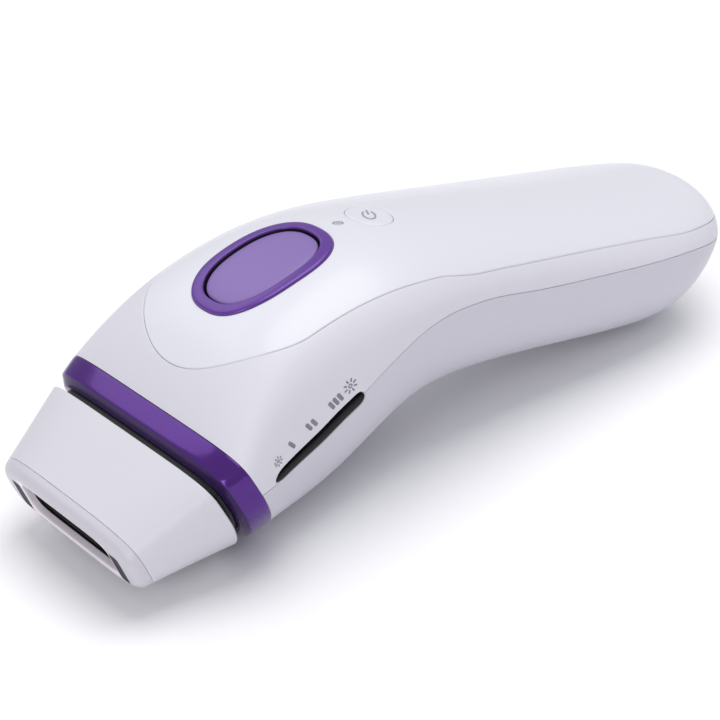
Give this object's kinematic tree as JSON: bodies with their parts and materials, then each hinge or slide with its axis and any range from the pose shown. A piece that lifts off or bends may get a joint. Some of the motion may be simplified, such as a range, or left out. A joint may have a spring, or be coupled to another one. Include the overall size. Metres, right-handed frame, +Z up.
{
  "type": "ipl hair remover",
  "caption": "Handheld intense pulsed light hair remover: curved white handle, oval treatment button, purple collar ring and a pull-off treatment cap with a window.",
  "frame": {"origin": "centre of the bounding box on the surface it lies on", "axes": "+X from the treatment face to the tail, +Z up as it lies on its head and tail flats; the indicator window is on the -Y side"},
  "size_m": [0.1808, 0.0682, 0.0554],
  "materials": {
    "white_satin": "satin moulded, fine grain",
    "white_gloss": "high gloss, clear coated",
    "lower_white": "satin moulded, fine grain",
    "purple_pearl": "pearl lacquer",
    "purple_gloss": "gloss moulded",
    "lilac_matte": "matt soft-touch",
    "smoked_lens": "smoked, glossy",
    "sensor_grey": "dark, finely ribbed",
    "lamp_glass": "clear quartz",
    "filter_glass": "coated filter glass",
    "aluminium": "bright",
    "steel": "zinc plated",
    "brass_contact": "plated",
    "black_plastic": "moulded",
    "dark_grey_plastic": "moulded",
    "circuit_board": "solder resist",
    "transformer_tape": "taped winding",
    "led_white": "clear encapsulant",
    "light_pipe": "translucent grey",
    "filter_mesh": "fine mesh"
  },
  "bodies": {
    "housing": {"board_screw_1": "steel", "board_screw_2": "steel", "board_screw_3": "steel", "board_screw_4": "steel", "button_carrier": "black_plastic", "chassis": "black_plastic", "collar_ring": "purple_pearl", "dust_filter": "filter_mesh", "fan_housing": "black_plastic", "filter_glass": "filter_glass", "flash_capacitor": "black_plastic", "flash_lamp": "lamp_glass", "heat_sink": "aluminium", "indicator_board": "circuit_board", "indicator_led_1": "led_white", "indicator_led_2": "led_white", "indicator_led_3": "led_white", "indicator_led_4": "led_white", "indicator_led_5": "led_white", "indicator_lens": "smoked_lens", "inlet_pin_left": "brass_contact", "inlet_pin_right": "brass_contact", "lamp_electrode_left": "steel", "lamp_electrode_right": "steel", "lamp_holder": "black_plastic", "lower_shell": "lower_white", "main_board": "circuit_board", "power_inlet": "black_plastic", "power_switch": "dark_grey_plastic", "reflector": "aluminium", "status_light_pipe": "light_pipe", "top_cover": "white_gloss", "trigger_bezel": "purple_gloss", "trigger_spring": "steel", "trigger_switch": "dark_grey_plastic", "trigger_transformer": "transformer_tape", "upper_shell": "white_satin"},
    "cap": {"cap_shell": "white_satin", "face_frame": "white_satin", "sensor_left": "sensor_grey", "sensor_right": "sensor_grey", "window_liner": "black_plastic"},
    "treatment_button": {"trigger_pad": "lilac_matte"},
    "power_key": {"power_button": "white_gloss"},
    "fan": {"fan_rotor": "dark_grey_plastic"}
  },
  "joints": [
    {"name": "trigger_press", "type": "slide", "parent": "housing", "child": "treatment_button", "axis": [0.2116, 0, -0.9774], "range_m": [0, 0.0012], "stiffness_N_per_m": 1500, "springref_m": -0.0006, "deforming": ["trigger_spring"]},
    {"name": "power_press", "type": "slide", "parent": "housing", "child": "power_key", "axis": [-0.1921, 0, -0.9814], "range_m": [0, 0.0007], "stiffness_N_per_m": 1800, "springref_m": -0.0004},
    {"name": "cap_pull", "type": "slide", "parent": "housing", "child": "cap", "axis": [-0.9293, 0, -0.3693], "range_m": [0, 0.01]},
    {"name": "fan_spin", "type": "hinge", "parent": "housing", "child": "fan", "pos_m": [-0.04264, 0, 0.0221], "axis": [0.9293, 0, 0.3693], "continuous": true}
  ]
}
